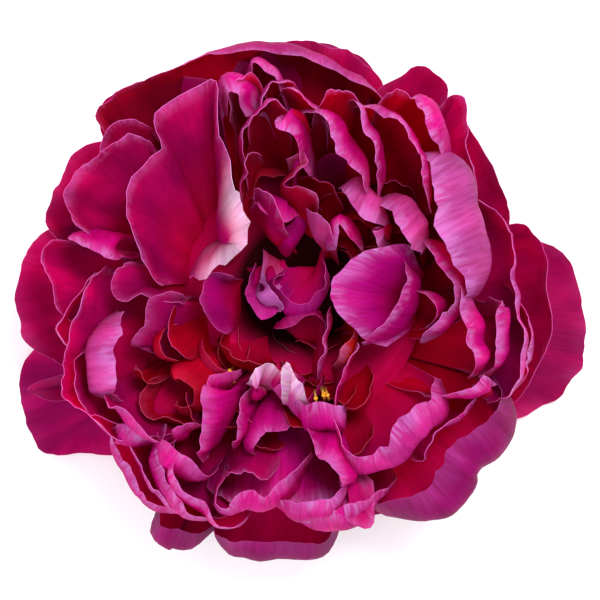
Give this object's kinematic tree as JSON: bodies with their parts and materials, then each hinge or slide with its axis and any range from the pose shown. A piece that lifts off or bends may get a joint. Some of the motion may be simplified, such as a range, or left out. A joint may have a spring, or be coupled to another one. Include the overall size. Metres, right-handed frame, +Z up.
{
  "type": "peony bloom",
  "caption": "Fully double magenta peony bloom in full flower, picked under the calyx and resting on its drooping guard petals.",
  "frame": {"origin": "middle of the footprint, on the surface that the bloom rests on", "axes": "+Z up out of the open face of the flower, +Y towards the top edge of the picture, +X towards its right edge"},
  "size_m": [0.1428, 0.1311, 0.0704],
  "materials": {
    "petal_magenta": "satin, velvety inside and silky pink outside",
    "sepal_green": "matte green with a purple blush at the rims",
    "carpel_felt": "matte felt, pale green-yellow with dark pink tips"
  },
  "bodies": {
    "root": {"bloom": "petal_magenta", "calyx": "sepal_green", "carpels": "carpel_felt"}
  },
  "joints": []
}
